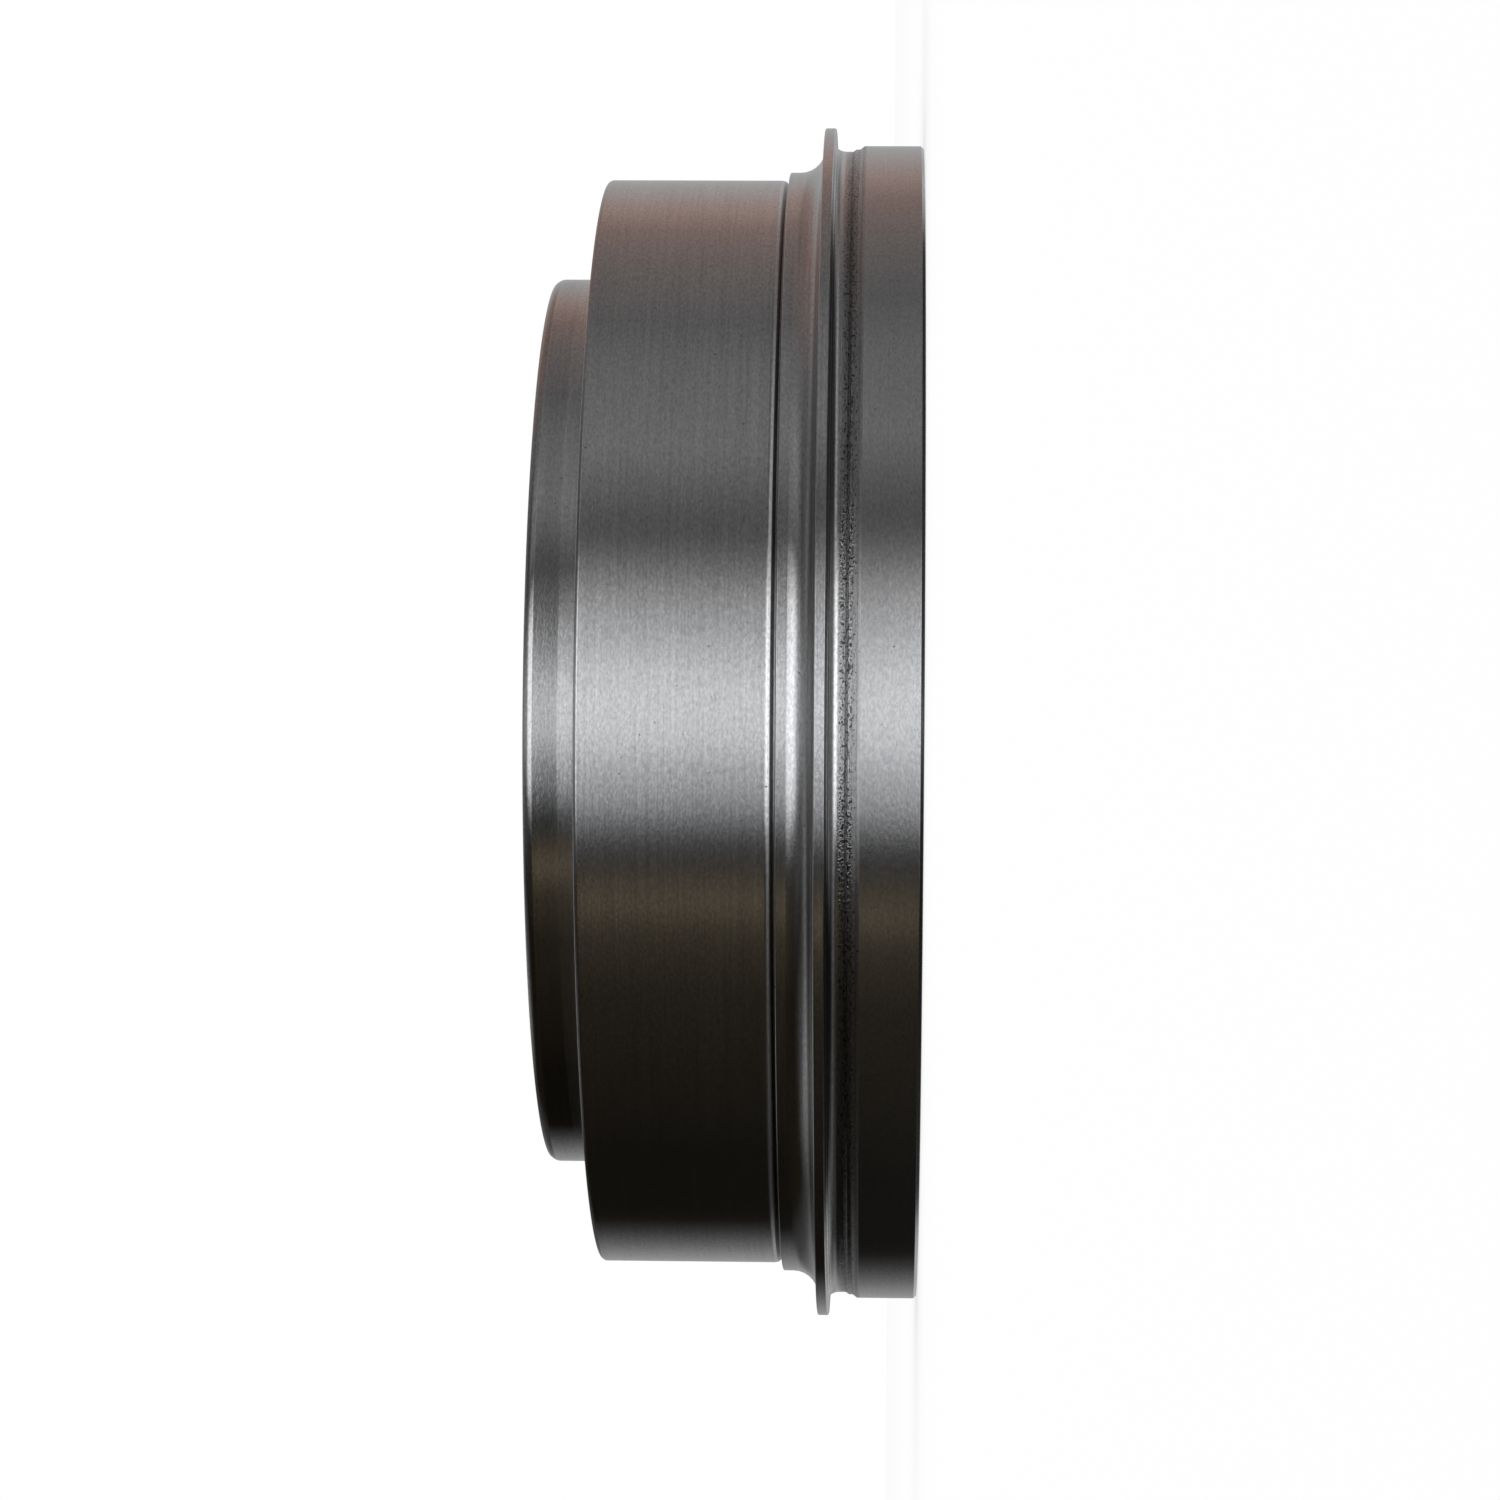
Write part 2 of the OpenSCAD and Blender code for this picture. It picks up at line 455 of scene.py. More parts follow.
def drum_arrays(s):
    """Works out the drum's mesh: vertices, four-sided faces, and each face corner's place along the section.

    The section is carried round the axis. Where a hole goes through the end wall, a patch of both flat
    faces is left out, and rings of faces lead from the upper patch's edge to the hole's rim, down its
    wall and out to the lower patch's edge.
    """
    corners = rim_corners(s) + fin_corners(s) + body_corners(s) + hat_corners(s) + ring_corners(s)
    outline, finishes = rounded_section(corners)
    rows = len(outline)
    grid = lathe(outline)
    along = np.concatenate([[0], np.cumsum(np.linalg.norm(np.diff(outline, axis=0), axis=1))])
    closing = along[-1] + np.linalg.norm(outline[0] - outline[-1])

    row, column = np.meshgrid(np.arange(rows), np.arange(COLUMNS), indexing="ij")
    next_row, next_column = (row + 1) % rows, (column + 1) % COLUMNS
    faces = np.stack([vertex_number(row, column), vertex_number(row, next_column),
                      vertex_number(next_row, next_column), vertex_number(next_row, column)], -1)
    far = np.where(row == rows - 1, closing, along[next_row])
    reading = np.stack([along[row], along[row], far, far], -1)
    finish = finishes[row]
    keep = np.ones(row.shape, bool)

    top, seat = s.height, s.height - END_WALL
    upper = row_at(outline, PATCH_OUTER, top), row_at(outline, PATCH_INNER, top)
    lower = row_at(outline, PATCH_OUTER, seat), row_at(outline, PATCH_INNER, seat)
    holes = [(round(COLUMNS * (i + 0.5) / s.studs), STUD_REACH, s.stud_hole / 2, STUD_CHAMFER, drilled_wall)
             for i in range(s.studs)]
    holes += [(i * COLUMNS // PULLERS, PULLER_REACH, PULLER_CORE, PULLER_CHAMFER, tapped_wall)
              for i in range(PULLERS)]
    points, blocks = [grid.reshape(-1, 3)], []
    count = grid.shape[0] * grid.shape[1]
    for centre, reach, radius, chamfer, wall in holes:
        near = (column - centre + COLUMNS // 2) % COLUMNS - COLUMNS // 2
        inside = (near >= -reach) & (near < reach)
        keep &= ~(inside & (row >= upper[0]) & (row < upper[1]))
        keep &= ~(inside & (row >= lower[1]) & (row < lower[0]))
        turn = 2 * math.pi * centre / COLUMNS
        middle = s.stud_circle / 2 * np.array([math.cos(turn), math.sin(turn)])
        first = vertex_number(*patch_edge(*upper, centre, reach))
        last = vertex_number(*patch_edge(*lower, centre, reach))
        edge = points[0][first, :2]
        angle = np.arctan2(*(edge - middle).T[::-1])
        spokes = np.stack([np.cos(angle), np.sin(angle)], 1)
        radii, heights = wall(angle, radius, chamfer, top, seat)
        rings = middle + radii[..., None] * spokes
        share = (np.arange(1, FLAT_RINGS + 1) / (FLAT_RINGS + 1))[:, None, None]
        upper_ring = edge + share * (rings[0] - edge)
        lower_ring = edge + share[::-1] * (rings[-1] - edge)
        flat = np.concatenate([upper_ring, rings, lower_ring])
        level = np.concatenate([np.full(FLAT_RINGS, top), heights, np.full(FLAT_RINGS, seat)])
        new = np.concatenate([flat, np.broadcast_to(level[:, None, None], (*flat.shape[:2], 1))], -1)
        numbers = count + np.arange(new.shape[0] * new.shape[1]).reshape(new.shape[:2])
        loops = np.concatenate([first[None], numbers, last[None]])
        turned = np.roll(loops, -1, axis=1)
        quads = np.stack([loops[:-1], turned[:-1], turned[1:], loops[1:]], -1)
        points.append(new.reshape(-1, 3))
        count += len(points[-1])
        blocks.append(quads)
    points = np.concatenate(points)

    face_list, reading_list = [faces[keep]], [reading[keep]]
    finish_list = [finish[keep]]
    flat = FLAT_RINGS + 1
    for quads in blocks:
        distance = np.hypot(*points[quads][..., :2].T).T
        on_top = along[upper[0]] + PATCH_OUTER - distance
        on_seat = along[lower[1]] + distance - PATCH_INNER
        value = points[quads][..., 2].copy()
        value[:flat] = on_top[:flat]
        value[-flat:] = on_seat[-flat:]
        kind = np.full(quads.shape[:2], DRILLED)
        kind[:flat] = FACED
        kind[-flat:] = BORED
        face_list.append(quads.reshape(-1, 4))
        reading_list.append(value.reshape(-1, 4))
        finish_list.append(kind.reshape(-1))
    faces = np.concatenate(face_list)
    used, faces = np.unique(faces, return_inverse=True)
    return points[used] * MM, faces.reshape(-1, 4), np.concatenate(reading_list), np.concatenate(finish_list)


def drum_mesh(s):
    """Puts the worked-out arrays into one smooth-shaded mesh, with `along` on its face corners."""
    points, faces, along, finish = drum_arrays(s)
    mesh = bpy.data.meshes.new(PIECE)
    mesh.vertices.add(len(points))
    mesh.vertices.foreach_set("co", points.astype(np.float32).ravel())
    mesh.loops.add(faces.size)
    mesh.loops.foreach_set("vertex_index", faces.astype(np.int32).ravel())
    mesh.polygons.add(len(faces))
    mesh.polygons.foreach_set("loop_start", np.arange(0, faces.size, 4, dtype=np.int32))
    mesh.polygons.foreach_set("material_index", finish.astype(np.int32))
    mesh.update(calc_edges=True)
    if mesh.validate():
        raise RuntimeError("the drum's mesh has broken faces")
    attribute = mesh.attributes.new("along", "FLOAT", "CORNER")
    attribute.data.foreach_set("value", along.astype(np.float32).ravel())
    mesh.shade_smooth()
    mesh.set_sharp_from_angle(angle=SHARP_TURN)
    return mesh


# Shader nodes

# Depth of the relief that tools and the mould's sand leave, in metres.
FINE_RELIEF = 0.00003
SAND_RELIEF = 0.0003


class Tree:
    """Adds shader nodes to a material or world and joins them, with one short method for each kind."""

    def __init__(self, owner):
        owner.use_nodes = True
        self.tree = owner.node_tree
        self.tree.nodes.clear()

    def node(self, kind, inputs=None, **settings):
        """A node with its settings, and its inputs joined or set by name or number."""
        made = self.tree.nodes.new(kind)
        for name, value in settings.items():
            setattr(made, name, value)
        for key, value in (inputs or {}).items():
            if isinstance(value, bpy.types.NodeSocket):
                self.tree.links.new(value, made.inputs[key])
            else:
                made.inputs[key].default_value = value
        return made

    def math(self, operation, *values):
        return self.node("ShaderNodeMath", dict(enumerate(values)), operation=operation).outputs[0]

    def vector(self, operation, *values):
        made = self.node("ShaderNodeVectorMath", dict(enumerate(values)), operation=operation)
        return made.outputs["Value" if operation in ("LENGTH", "DOT_PRODUCT") else "Vector"]

    def scaled(self, vector, factor):
        return self.node("ShaderNodeVectorMath", {0: vector, "Scale": factor}, operation="SCALE").outputs[0]

    def combine(self, x, y, z):
        return self.node("ShaderNodeCombineXYZ", {0: x, 1: y, 2: z}).outputs[0]

    def split(self, vector):
        return self.node("ShaderNodeSeparateXYZ", {0: vector}).outputs

    def steps(self, value, low, high, to_low=0.0, to_high=1.0, smooth=True):
        """Goes from one number to another as the value goes from low to high."""
        made = self.node("ShaderNodeMapRange", {0: value, 1: low, 2: high, 3: to_low, 4: to_high})
        made.interpolation_type = "SMOOTHSTEP" if smooth else "LINEAR"
        return made.outputs[0]

    def between(self, value, low, high, edge=0.1):
        """1 between two heights and 0 outside them, with a short soft edge."""
        rise = self.steps(value, low - edge, low + edge)
        fall = self.steps(value, high - edge, high + edge, 1.0, 0.0)
        return self.math("MULTIPLY", rise, fall)

    def noise(self, vector, scale, detail=2.0, roughness=0.5):
        """Blender's cloud noise, moved to lie about zero."""
        made = self.node("ShaderNodeTexNoise", {"Vector": vector, "Scale": scale, "Detail": detail,
                                                "Roughness": roughness})
        return self.math("SUBTRACT", made.outputs[0], 0.5)

    def blend(self, factor, first, second):
        made = self.node("ShaderNodeMix", data_type="RGBA")
        for socket, value in zip((made.inputs[0], made.inputs[6], made.inputs[7]), (factor, first, second)):
            if isinstance(value, bpy.types.NodeSocket):
                self.tree.links.new(value, socket)
            else:
                socket.default_value = value
        return made.outputs[2]

    def mixed(self, factor, first, second):
        """A number between two numbers."""
        change = self.math("SUBTRACT", second, first)
        return self.math("MULTIPLY_ADD", change, factor, first)

    def ramp(self, factor, stops):
        """A colour ramp from (position, colour) stops."""
        made = self.node("ShaderNodeValToRGB", {0: factor})
        elements = made.color_ramp.elements
        while len(elements) < len(stops):
            elements.new(0.5)
        for element, (position, colour) in zip(elements, stops):
            element.position = position
            element.color = (*colour, 1.0)
        return made.outputs[0]


class IronTree(Tree):
    """A shader tree with the drum's own coordinates, in millimetres."""

    def __init__(self, name):
        self.material = bpy.data.materials.new(name)
        super().__init__(self.material)
        where = self.node("ShaderNodeTexCoord").outputs["Object"]
        self.place = self.scaled(where, 1 / MM)
        self.x, self.y, self.z = self.split(self.place)
        self.along = self.node("ShaderNodeAttribute", attribute_name="along").outputs["Fac"]
        self.tangent = self.vector("NORMALIZE", self.vector("CROSS_PRODUCT", (0, 0, 1), where))

    def drawn_out(self, around, lengthwise):
        """Coordinates for a pattern with so many features a millimetre round the axis and along it."""
        return self.combine(self.math("MULTIPLY", self.x, around), self.math("MULTIPLY", self.y, around),
                            self.math("MULTIPLY", self.along, lengthwise))

    def pores(self, darkness):
        """Small open pores, scattered: the middles of a few of the cells that a Voronoi pattern makes."""
        cells = self.node("ShaderNodeTexVoronoi", {"Vector": self.place, "Scale": 0.5})
        chosen = self.steps(self.split(cells.outputs["Color"])[0], 0.72, 0.80)
        size = self.math("MULTIPLY_ADD", self.split(cells.outputs["Color"])[1], 0.07, 0.03)
        inside = self.math("LESS_THAN", cells.outputs["Distance"], size)
        return self.math("MULTIPLY", self.math("MULTIPLY", chosen, inside), darkness)

    def relief(self, height, strength=1.0, depth=FINE_RELIEF):
        """A normal bent by a pattern's height."""
        inputs = {"Strength": strength, "Distance": depth, "Height": height}
        return self.node("ShaderNodeBump", inputs).outputs[0]

    def finish_lined(self, **sockets):
        """A metal whose fine lines run round the axis, so it mirrors sharply round it and softly along it."""
        return self.finish(anisotropic_rotation=0.25, tangent=self.tangent, **sockets)

    def finish(self, **sockets):
        shader = self.node("ShaderNodeBsdfPrincipled", sockets_named(sockets))
        self.node("ShaderNodeOutputMaterial", {0: shader.outputs[0]})
        return self.material


def sockets_named(values):
    """Socket names from Python names: base_color becomes Base Color."""
    return {name.replace("_", " ").title().replace("Ior", "IOR"): value for name, value in values.items()}


# Zones of the turned outside, by height in millimetres.
POLISHED_FROM = 59.3
RIM_BAND = (0.0, 10.2)
FIRST_SLOPE = (10.6, 11.15)
TORN_FROM, TORN_TO = 9.8, 13.8
WORST_FROM, WORST_TO = 11.6, 13.0

# Radii between which the wheel face ends and the hat's side begins, in millimetres.
HAT_SIDE = (78.0, 78.6)

# How far the facing tool moves outwards in a turn, in millimetres.
FACING_FEED = 0.45

# Thin bands of painted shade and painted highlight, which darken or lighten the iron's colour at set
# heights: two heights, soft edge and change.
PAINTED_LIGHT_BANDS = [
    (11.20, 11.90, 0.10, -0.38),
    (12.20, 12.95, 0.15, -0.42),
    (12.95, 13.50, 0.08, -0.25),
    (13.70, 14.10, 0.08, 0.25),
    (14.30, 14.82, 0.08, -0.40),
    (14.90, 15.08, 0.05, -0.60),
    (15.26, 15.42, 0.05, -0.50),
    (23.45, 24.15, 0.10, -0.40),
    (24.45, 24.90, 0.08, 0.32),
    (59.50, 63.30, 0.20, -0.11),
    (63.60, 64.40, 0.10, -0.14),
]


def turned_texture(t, look):
    """Brightness and relief of the turned outside: grain, turning lines, pores, torn specks, painted shade
    and highlights.
    """
    torn = t.math("MULTIPLY", t.steps(t.z, TORN_FROM, WORST_FROM), t.steps(t.z, WORST_TO, TORN_TO, 1.0, 0.0))
    rim = t.between(t.z, *RIM_BAND, edge=0.2)
    grain = t.noise(t.drawn_out(1.3, 2.6), 1.0, detail=3.0, roughness=0.65)
    lines = t.noise(t.drawn_out(0.02, 1.5), 1.0, detail=5.0, roughness=0.8)
    broad = t.noise(t.drawn_out(0.04, 0.15), 1.0)
    specks = t.noise(t.drawn_out(2.3, 2.8), 1.0, detail=1.0, roughness=0.6)
    tone = t.math("MULTIPLY_ADD", grain, t.mixed(rim, look.grain, 0.8 * look.grain), 1.0)
    tone = t.math("ADD", tone, t.math("MULTIPLY", t.math("MULTIPLY", specks, torn), 1.2))
    line_share = t.mixed(rim, look.tool_lines, 0.4 * look.tool_lines)
    tone = t.math("ADD", tone, t.math("MULTIPLY", lines, line_share))
    tone = t.math("ADD", tone, t.math("MULTIPLY", broad, 0.05))
    # Painted shade and painted highlight: the thin bands darken or lighten the colour at set heights.
    for low, high, edge, change in PAINTED_LIGHT_BANDS:
        tone = t.math("MULTIPLY", tone, t.mixed(t.between(t.z, low, high, edge), 1.0, 1.0 + change))
    over_limit = t.math("SUBTRACT", specks, t.mixed(torn, 0.27, 0.052))
    torn_pits = t.math("MULTIPLY", t.steps(over_limit, 0.0, 0.04), 0.85)
    dark = t.math("MAXIMUM", t.pores(look.pitting), torn_pits)
    tone = t.math("MULTIPLY", tone, t.math("SUBTRACT", 1.0, dark))
    relief = t.math("MULTIPLY_ADD", t.math("MULTIPLY", specks, torn), 3.0, t.math("MULTIPLY", grain, 0.4))
    return tone, t.relief(relief)


def turned_iron(look):
    """Fine-turned bare grey iron: sharp round the axis, drawn out along it, finer beside the wheel face."""
    t = IronTree("turned_iron")
    tone, bump = turned_texture(t, look)
    outside = t.steps(t.vector("LENGTH", t.combine(t.x, t.y, 0.0)), *HAT_SIDE)
    polished = t.math("MULTIPLY", t.steps(t.z, POLISHED_FROM - 0.15, POLISHED_FROM + 0.15), outside)
    roughness = t.mixed(polished, look.roughness, 0.6 * look.roughness)
    return t.finish_lined(base_color=t.scaled(tuple(look.bare_colour), tone), metallic=1.0,
                          roughness=roughness, anisotropic=0.844, normal=bump)


def torn_iron(look):
    """The short slopes beside the rim band, where the tool tore the iron instead of cutting it clean."""
    t = IronTree("torn_iron")
    tone, bump = turned_texture(t, look)
    # Painted highlight: the first slope's colour is raised to 1.4 times, against 0.95 on the rest of the torn
    # iron.
    slope_highlight_mask = t.between(t.z, *FIRST_SLOPE, edge=0.15)
    tone = t.math("MULTIPLY", tone, t.mixed(slope_highlight_mask, 0.95, 1.4))
    return t.finish_lined(base_color=t.scaled(tuple(look.bare_colour), tone), metallic=1.0, roughness=0.38,
                          anisotropic=1.0, normal=bump)


def faced_iron(look):
    """The wheel face and the web, faced with a coarser feed: duller, with plain tool lines round the axis."""
    t = IronTree("faced_iron")
    lines = t.noise(t.drawn_out(0.02, 3.0), 1.0, detail=3.0, roughness=0.7)
    feed = t.math("SINE", t.math("MULTIPLY", t.along, 2 * math.pi / FACING_FEED))
    grain = t.noise(t.drawn_out(1.2, 1.8), 1.0)
    broad = t.noise(t.place, 0.03)
    tone = t.math("MULTIPLY_ADD", lines, 0.9, 1.05)
    tone = t.math("ADD", tone, t.math("MULTIPLY", grain, 0.35))
    tone = t.math("ADD", tone, t.math("MULTIPLY", broad, 0.2))
    tone = t.math("MULTIPLY", tone, t.math("SUBTRACT", 1.0, t.pores(look.pitting)))
    relief = t.math("MULTIPLY_ADD", lines, 2.0, t.math("MULTIPLY", feed, 0.12))
    return t.finish_lined(base_color=t.scaled(tuple(look.bare_colour), tone), metallic=0.7, roughness=0.36,
                          anisotropic=0.8, normal=t.relief(relief))


def bored_iron(look):
    """Bored iron: close, even tool lines round the bore."""
    t = IronTree("bored_iron")
    lines = t.noise(t.drawn_out(0.05, 4.0), 1.0, detail=3.0, roughness=0.7)
    grain = t.noise(t.drawn_out(1.2, 1.8), 1.0)
    tone = t.math("MULTIPLY_ADD", lines, 0.12, 1.0)
    tone = t.math("ADD", tone, t.math("MULTIPLY", grain, 0.08))
    colour = t.scaled(tuple(look.bare_colour), tone)
    return t.finish_lined(base_color=colour, metallic=1.0, roughness=0.3, anisotropic=0.6,
                          normal=t.relief(lines, strength=0.2))


def drilled_iron(look):
    """The walls of drilled and tapped holes."""
    t = IronTree("drilled_iron")
    grain = t.noise(t.place, 3.0)
    colour = t.scaled(tuple(look.bare_colour), t.math("MULTIPLY_ADD", grain, 0.2, 0.9))
    return t.finish(base_color=colour, metallic=1.0, roughness=0.32)


def cast_skin(look):
    """The unmachined inside: sand-cast, dull and dark, with a pebbled surface."""
    t = IronTree("cast_skin")
    sand = t.noise(t.place, 1.4, detail=4.0, roughness=0.6)
    patches = t.noise(t.place, 0.07)
    tone = t.math("MULTIPLY_ADD", sand, 0.5, 1.0)
    tone = t.math("ADD", tone, t.math("MULTIPLY", patches, 0.5))
    colour = t.scaled(tuple(look.skin_colour), tone)
    return t.finish(base_color=colour, metallic=0.6, roughness=0.6,
                    normal=t.relief(sand, strength=0.6, depth=SAND_RELIEF))


# Studio

# Tints of the panels.
PLAIN = (1.0, 1.0, 1.0)
COOL = (0.985, 1.0, 1.02)
WARM = (1.1, 0.96, 0.92)
BROWN = (1.25, 0.9, 0.8)
OLIVE = (1.25, 1.02, 0.7)

# What the metal mirrors, as bearing in degrees round the drum from the photographer's side, brightness and
# tint: a bright window straight behind the camera, a dark hall to one side and a brown wall to the other.
# The levels were fitted to brightness measured in the photograph, and rounded. LOW_BAND lies at the horizon.
# Above it follow WING_BAND, TOP_BAND and ZENITH, and below it SHADE_BAND, GROUND_BAND, TOP_BAND again and
# ZENITH, which away from the window give way to a dark share of GROUND_BAND.
WINDOW = [
    (-17, 1.05, COOL), (-10, 1.42, COOL), (0, 1.66, COOL),
    (9, 1.70, COOL), (17, 1.50, COOL), (24, 1.27, PLAIN),
]
LOW_BAND = [
    (-180, 0.42, PLAIN), (-154, 0.29, PLAIN), (-140, 0.11, PLAIN), (-135, 0.05, PLAIN), (-129, 0.006, OLIVE),
    (-100, 0.006, OLIVE), (-76, 0.014, OLIVE), (-56, 0.024, OLIVE), (-44, 0.052, OLIVE), (-37, 0.12, OLIVE),
    (-32, 0.08, OLIVE), (-26, 0.03, PLAIN), (-20, 0.05, COOL), (-10, 0.30, COOL), (-3, 0.66, COOL),
    (5, 0.70, COOL), (11, 0.52, COOL), (17, 0.30, COOL), (24, 0.135, PLAIN), (30, 0.10, PLAIN),
    (43, 0.12, PLAIN), (57, 0.25, PLAIN), (76, 0.22, PLAIN), (90, 0.155, PLAIN), (108, 0.19, WARM),
    (124, 0.245, BROWN), (134, 0.34, BROWN), (146, 0.40, WARM), (158, 0.41, PLAIN), (180, 0.42, PLAIN),
]
WING_BAND = [
    (-180, 0.35, PLAIN), (-165, 0.20, PLAIN), (-150, 0.08, PLAIN), (-122, 0.012, OLIVE), (-60, 0.012, OLIVE),
    (-40, 0.03, OLIVE), (-30, 0.045, PLAIN), (-24, 0.27, PLAIN), *WINDOW, (31, 0.64, PLAIN),
    (38, 0.13, PLAIN), (47, 0.24, PLAIN), (60, 0.28, PLAIN), (76, 0.19, PLAIN), (93, 0.165, WARM),
    (124, 0.19, BROWN), (142, 0.26, BROWN), (160, 0.40, PLAIN), (180, 0.40, PLAIN),
]
TOP_BAND = [
    (-180, 0.40, PLAIN), (-150, 0.40, PLAIN), (-122, 0.30, PLAIN), (-100, 0.10, PLAIN), (-60, 0.02, PLAIN),
    (-28, 0.10, PLAIN), (-8, 0.36, COOL), (12, 0.40, COOL), (40, 0.12, PLAIN), (60, 0.06, PLAIN),
    (122, 0.18, PLAIN), (150, 0.35, PLAIN), (180, 0.40, PLAIN),
]
SHADE_BAND = [
    (-180, 0.55, PLAIN), (-152, 0.45, PLAIN), (-138, 0.20, PLAIN), (-124, 0.045, PLAIN), (-90, 0.03, PLAIN),
    (-40, 0.02, OLIVE), (-30, 0.025, PLAIN), (-24, 0.10, PLAIN), *WINDOW, (31, 0.50, PLAIN),
    (38, 0.09, PLAIN), (60, 0.09, PLAIN), (93, 0.10, PLAIN), (124, 0.22, WARM), (145, 0.40, PLAIN),
    (180, 0.55, PLAIN),
]
GROUND_BAND = [
    (-180, 0.65, PLAIN), (-135, 0.50, PLAIN), (-118, 0.20, PLAIN), (-60, 0.12, PLAIN), (-36, 0.20, PLAIN),
    (-26, 0.35, PLAIN), *WINDOW, (31, 0.85, PLAIN), (40, 0.60, PLAIN), (60, 0.65, PLAIN),
    (90, 0.55, PLAIN), (124, 0.40, WARM), (150, 0.55, PLAIN), (180, 0.65, PLAIN),
]

# Brightness straight up, and the brightness that a ramp's 1 stands for.
ZENITH = 0.26
BRIGHTEST = 2.0

# Where the bands meet, in degrees from the window's middle line. Below it the window is lower, so the
# bands come sooner: first the shade under the sills, then pale ground, then the dark close to the drum,
# which the window's own light fills in front.
WINDOW_MIDDLE = 0.5
LOWER_SQUEEZE = 1.6
LOW_TO_WING = (4.5, 9.5)
WING_TO_TOP = (30.0, 54.0)
TOP_TO_ZENITH = (60.0, 88.0)
SHADE_TO_GROUND = (-15.0, -22.0)
GROUND_TO_DARK = (-27.0, -36.0)
WINDOW_EDGE, ASIDE = math.radians(28), math.radians(56)
DARK_SHARE = 0.08


def panel_ramp(t, share_round, stops):
    """A colour ramp round the horizon. A ramp holds numbers up to 1, so they are scaled down for it."""
    return t.ramp(share_round, [((degrees + 180) / 360, tuple(level * part / BRIGHTEST for part in tint))
                                for degrees, level, tint in stops])


def studio_world(light):
    """White for the camera, plain soft light for matt surfaces, and the panels for what mirrors them."""
    world = bpy.data.worlds.new("studio")
    t = Tree(world)
    x, y, z = t.split(t.node("ShaderNodeTexCoord").outputs["Generated"])
    bearing = t.math("ARCTAN2", x, t.math("MULTIPLY", y, -1.0))
    share_round = t.math("MULTIPLY_ADD", bearing, 1 / (2 * math.pi), 0.5)
    climb = t.math("MULTIPLY", t.math("ARCSINE", z), 180 / math.pi)
    upwards = t.math("SUBTRACT", climb, WINDOW_MIDDLE)
    off_middle = t.math("MAXIMUM", upwards, t.math("MULTIPLY", upwards, -LOWER_SQUEEZE))
    below = t.math("LESS_THAN", upwards, 0.0)
    wing = t.blend(below, panel_ramp(t, share_round, WING_BAND), panel_ramp(t, share_round, SHADE_BAND))
    side = t.blend(t.steps(off_middle, *LOW_TO_WING), panel_ramp(t, share_round, LOW_BAND), wing)
    ground = panel_ramp(t, share_round, GROUND_BAND)
    side = t.blend(t.steps(upwards, *SHADE_TO_GROUND), side, ground)
    above = t.blend(t.steps(off_middle, *WING_TO_TOP), side, panel_ramp(t, share_round, TOP_BAND))
    zenith = (ZENITH / BRIGHTEST,) * 3 + (1.0,)
    seen = t.blend(t.steps(off_middle, *TOP_TO_ZENITH), above, zenith)
    aside = t.steps(t.math("ABSOLUTE", bearing), WINDOW_EDGE, ASIDE)
    dark = t.math("MULTIPLY", aside, t.steps(upwards, *GROUND_TO_DARK))
    seen = t.blend(dark, seen, t.scaled(ground, DARK_SHARE))
    rays = t.node("ShaderNodeLightPath").outputs
    mirrored = t.node("ShaderNodeBackground", {0: seen, 1: BRIGHTEST * light.panels}).outputs[0]
    soft = t.node("ShaderNodeBackground", {0: (1, 1, 1, 1), 1: light.room}).outputs[0]
    white = t.node("ShaderNodeBackground", {0: (1, 1, 1, 1), 1: 1.0}).outputs[0]
    lit = t.node("ShaderNodeMixShader", {0: rays["Is Glossy Ray"], 1: soft, 2: mirrored}).outputs[0]
    shown = t.node("ShaderNodeMixShader", {0: rays["Is Camera Ray"], 1: lit, 2: white}).outputs[0]
    t.node("ShaderNodeOutputWorld", {0: shown})
    world.cycles.sampling_method = "NONE"
    bpy.context.scene.world = world


# How much of the floor is plain white to the camera, and the radii in metres between which that begins.
FLOOR_WHITE = 0.66
FLOOR_WHITE_FROM = (0.098, 0.100)

# The floor's half width, and how far it lies below the rim's end face, in metres.
FLOOR_HALF = 6.0
FLOOR_DROP = 0.0001


def pale_floor():
    """A large flat floor under the drum. To the camera it shows mostly as white, with the drum's soft shadow.

    Inside the drum's rim it has no white of its own, so that the drum is dark inside.
    """
    half, level = FLOOR_HALF, -FLOOR_DROP
    mesh = bpy.data.meshes.new("floor")
    corners = [(-half, -half, level), (half, -half, level), (half, half, level), (-half, half, level)]
    mesh.from_pydata(corners, [], [(0, 1, 2, 3)])
    material = bpy.data.materials.new("pale_floor")
    t = Tree(material)
    matt = t.node("ShaderNodeBsdfDiffuse", {0: (0.9, 0.9, 0.9, 1)}).outputs[0]
    glow = t.node("ShaderNodeEmission", {0: (1, 1, 1, 1), 1: 1.0}).outputs[0]
    from_axis = t.vector("LENGTH", t.node("ShaderNodeTexCoord").outputs["Object"])
    outside = t.steps(from_axis, *FLOOR_WHITE_FROM, 0.0, FLOOR_WHITE)
    share = t.math("MULTIPLY", t.node("ShaderNodeLightPath").outputs["Is Camera Ray"], outside)
    shown = t.node("ShaderNodeMixShader", {0: share, 1: matt, 2: glow}).outputs[0]
    t.node("ShaderNodeOutputMaterial", {0: shown})
    mesh.materials.append(material)
    floor = bpy.data.objects.new("floor", mesh)
    floor.visible_glossy = False
    bpy.context.collection.objects.link(floor)
    floor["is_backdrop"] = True


def key_lamp(light):
    """A soft lamp overhead, unseen by the metal, that gives the floor its shadow."""
    lamp = bpy.data.lights.new("key_lamp", "AREA")
    lamp.size = 1.2
    lamp.energy = light.key_power
    lamp_object = bpy.data.objects.new("key_lamp", lamp)
    lamp_object.location = (0.2, -0.3, 1.6)
    lamp_object.rotation_euler = (math.radians(-10), math.radians(7), 0)
    lamp_object.visible_glossy = False
    bpy.context.collection.objects.link(lamp_object)


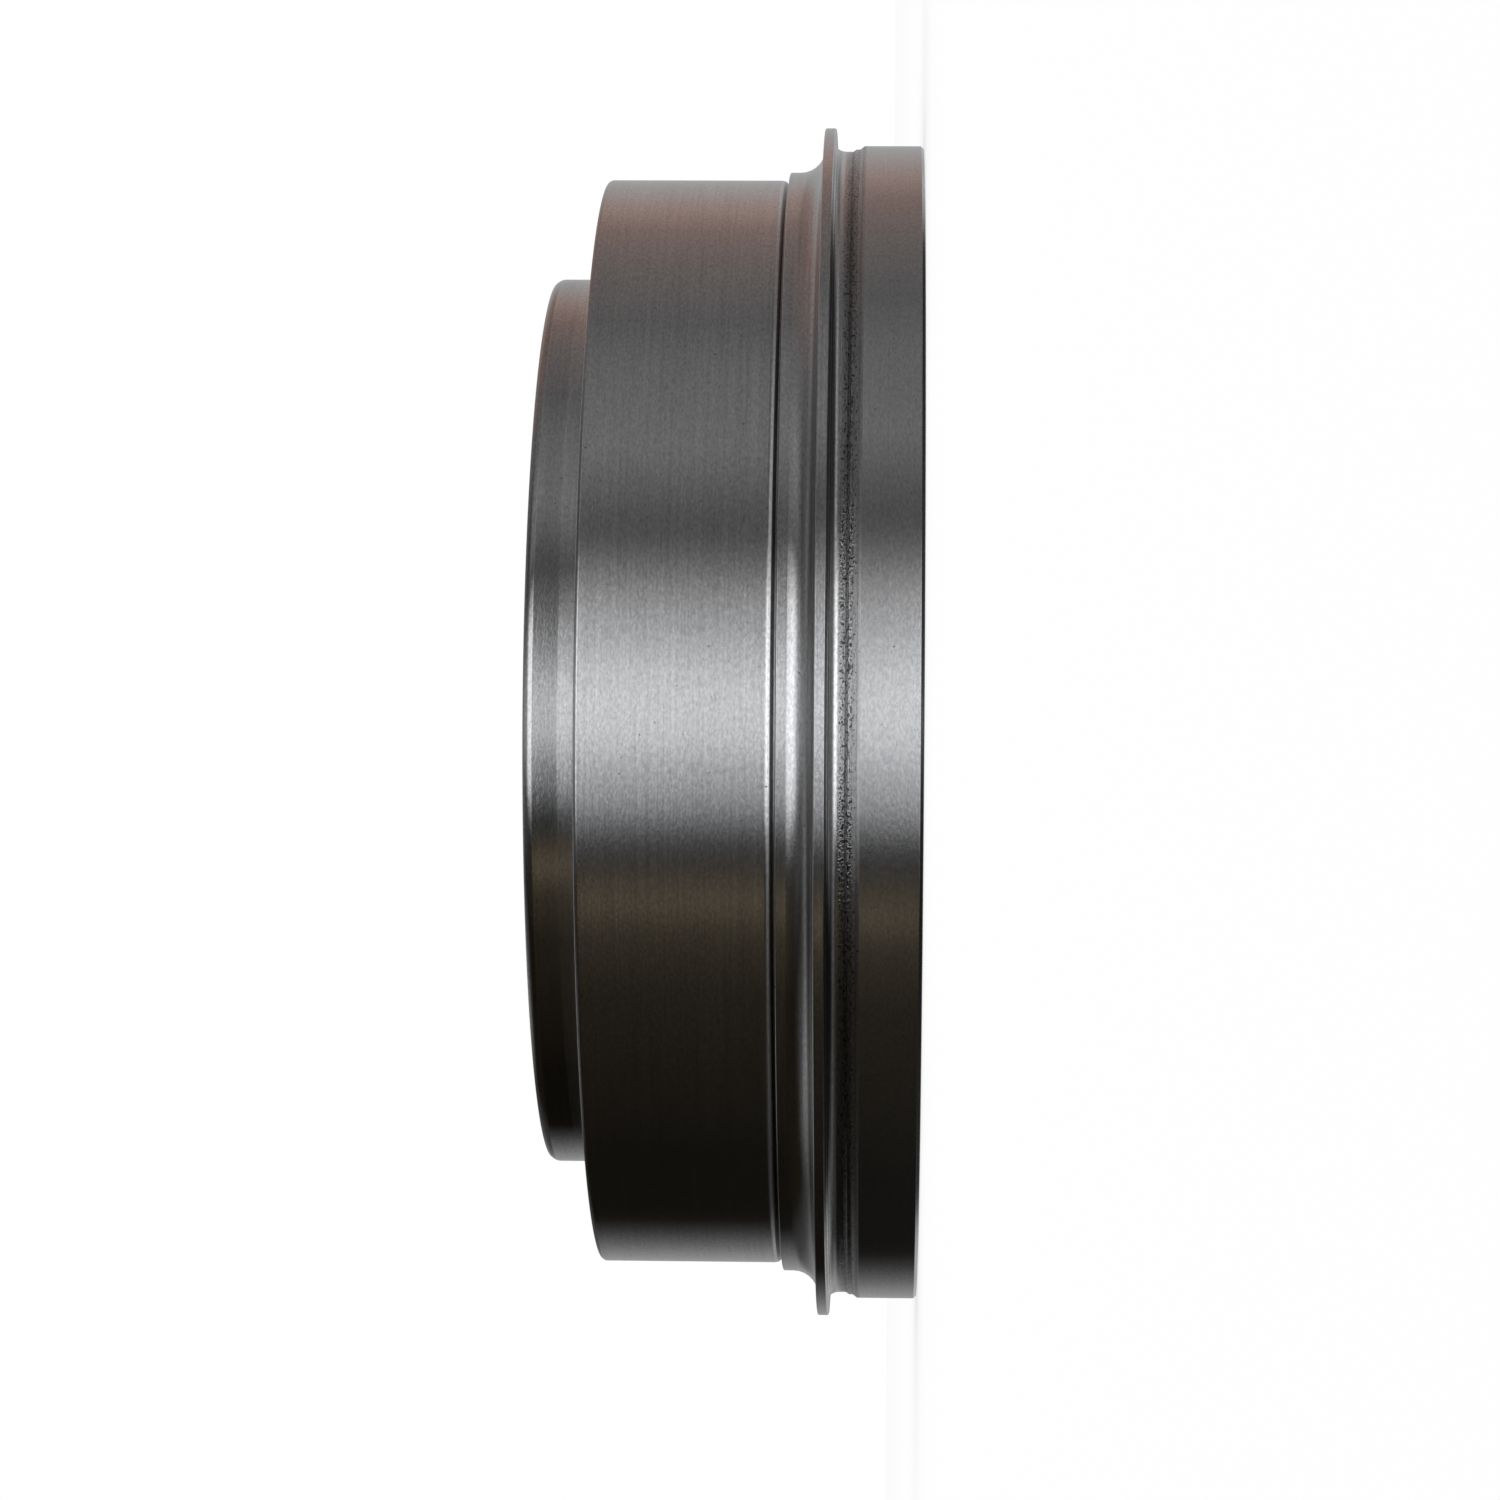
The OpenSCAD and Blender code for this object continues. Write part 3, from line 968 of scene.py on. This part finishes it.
def photo_camera():
    """A camera near the open rim's level, turned so that the drum's axis lies across the picture.

    Its lens, place and angles come from a pinhole camera fitted to the photographed outline.
    """
    camera = bpy.data.cameras.new("camera")
    camera.sensor_width = 36.0
    camera.lens = 103.04
    camera.clip_start = 0.02
    camera.clip_end = 20.0
    camera_object = bpy.data.objects.new("camera", camera)
    camera_object.location = (0.0, -0.774345, 0.005836)
    camera_object.rotation_euler = [math.radians(angle) for angle in (167.905, 88.1375, 78.2764)]
    bpy.context.collection.objects.link(camera_object)
    bpy.context.scene.camera = camera_object


# Operators and panel

class MESH_OT_brake_drum(bpy.types.Operator):
    """Builds the drum's casting and its finishes"""

    bl_idname = "mesh.brake_drum"
    bl_label = "Build Drum"

    def execute(self, context):
        scene = context.scene
        drum = bpy.data.objects.new(PIECE, drum_mesh(scene.drum_sizes))
        for finish in (turned_iron, bored_iron, cast_skin, drilled_iron, torn_iron, faced_iron):
            drum.data.materials.append(finish(scene.iron_finish))
        context.collection.objects.link(drum)
        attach(drum, "root")
        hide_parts(PIECE)
        return {"FINISHED"}


class SCENE_OT_drum_studio(bpy.types.Operator):
    """Sets up the floor, the lights and the camera"""

    bl_idname = "scene.drum_studio"
    bl_label = "Build Studio"

    def execute(self, context):
        light = context.scene.studio_light
        studio_world(light)
        pale_floor()
        key_lamp(light)
        photo_camera()
        context.scene.view_settings.view_transform = "Standard"
        return {"FINISHED"}


class VIEW3D_PT_brake_drum(bpy.types.Panel):
    """Lists the drum's sizes and finishes and its two builders"""

    bl_label = "Brake Drum"
    bl_idname = "VIEW3D_PT_brake_drum"
    bl_space_type = "VIEW_3D"
    bl_region_type = "UI"
    bl_category = "Brake Drum"

    def draw(self, context):
        for group in (context.scene.drum_sizes, context.scene.iron_finish, context.scene.studio_light):
            box = self.layout.box()
            for name in group.bl_rna.properties.keys():
                if name not in ("rna_type", "name"):
                    box.prop(group, name)
        self.layout.operator(MESH_OT_brake_drum.bl_idname)
        self.layout.operator(SCENE_OT_drum_studio.bl_idname)


CLASSES = (DrumSizes, IronFinish, StudioLight, MESH_OT_brake_drum, SCENE_OT_drum_studio, VIEW3D_PT_brake_drum)


def register():
    for made in CLASSES:
        bpy.utils.register_class(made)
    bpy.types.Scene.drum_sizes = PointerProperty(type=DrumSizes)
    bpy.types.Scene.iron_finish = PointerProperty(type=IronFinish)
    bpy.types.Scene.studio_light = PointerProperty(type=StudioLight)


def unregister():
    del bpy.types.Scene.studio_light
    del bpy.types.Scene.iron_finish
    del bpy.types.Scene.drum_sizes
    for made in reversed(CLASSES):
        bpy.utils.unregister_class(made)


def main():
    register()
    bpy.ops.mesh.brake_drum()
    bpy.ops.scene.drum_studio()
    boxes = {"cad": CAD_BOX, "visual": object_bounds()}
    {name: [list(corner) for corner in box] for name, box in boxes.items()}


if __name__ == "__main__":
    main()
